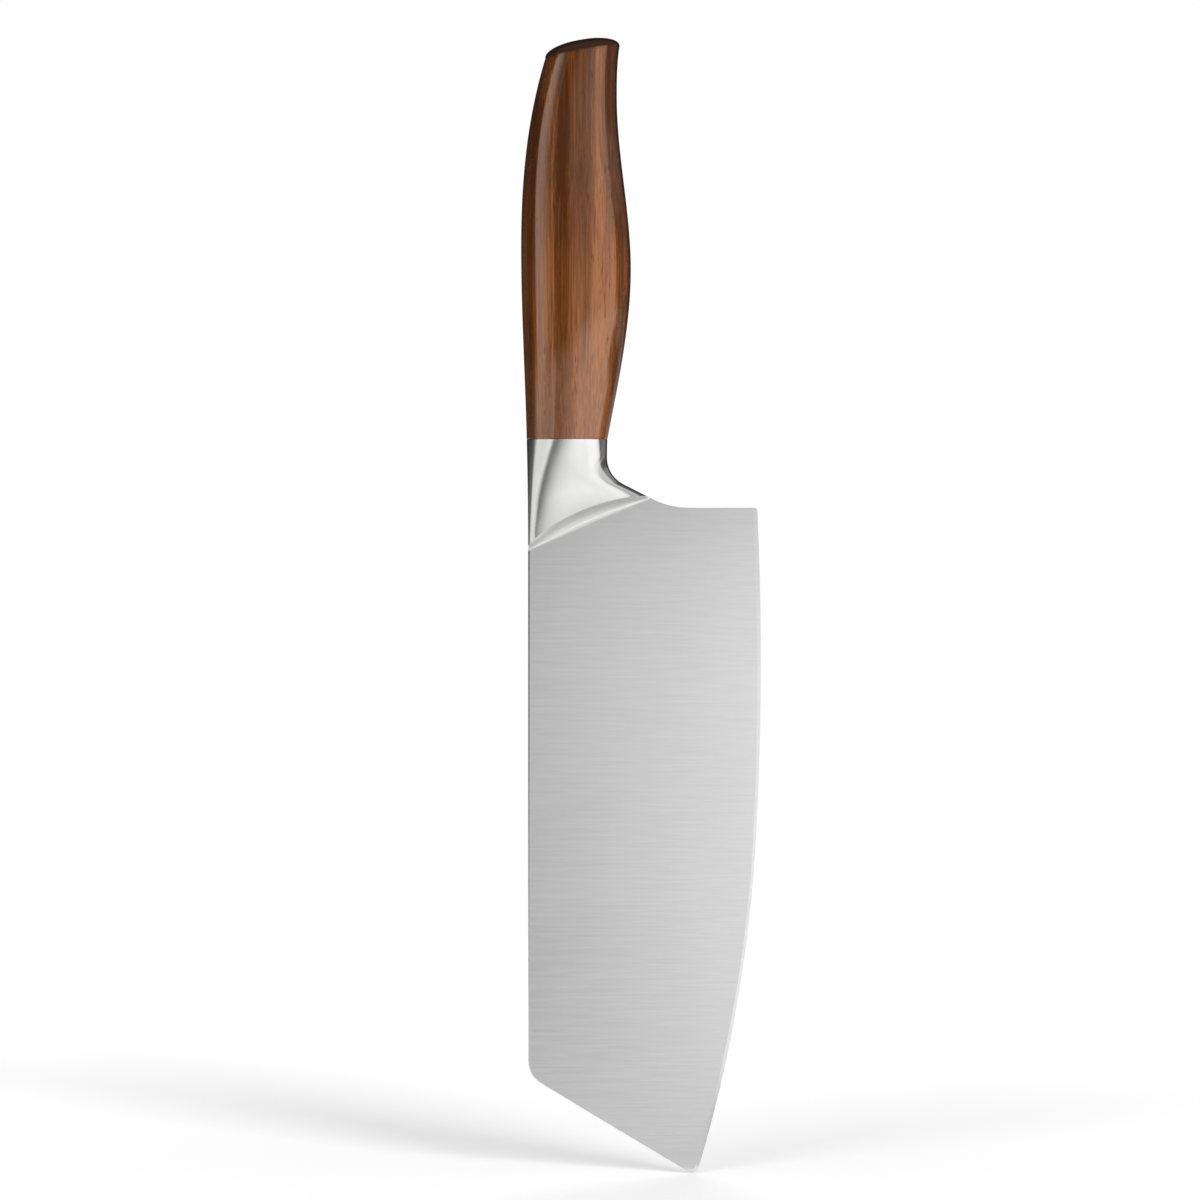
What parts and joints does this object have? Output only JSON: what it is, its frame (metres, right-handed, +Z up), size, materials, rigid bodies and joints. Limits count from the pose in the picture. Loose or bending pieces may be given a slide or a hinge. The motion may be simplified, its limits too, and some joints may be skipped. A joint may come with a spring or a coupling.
{
  "type": "slicing cleaver",
  "caption": "Kitchen slicing cleaver: wide ground blade with curved edge and slanted toe, tapered steel bolster and a rounded solid wood handle.",
  "frame": {"origin": "below the middle of the object, at the height of the tip it stands on", "axes": "+Z up from the tip to the butt of the handle, +X from the spine towards the cutting edge, +Y through the thickness; the two faces mirror each other across Y = 0"},
  "size_m": [0.0684, 0.023, 0.3238],
  "materials": {
    "blade_steel": "satin, brushed across the blade's width",
    "bolster_steel": "fine satin, nearly without lines",
    "rod_steel": "as turned",
    "resin": "set resin",
    "handle_wood": "reddish brown with dark pores, glossy lacquer"
  },
  "bodies": {
    "root": {"blade": "blade_steel", "bolster": "bolster_steel", "tang_rod": "rod_steel", "adhesive": "resin", "handle": "handle_wood"}
  },
  "joints": []
}
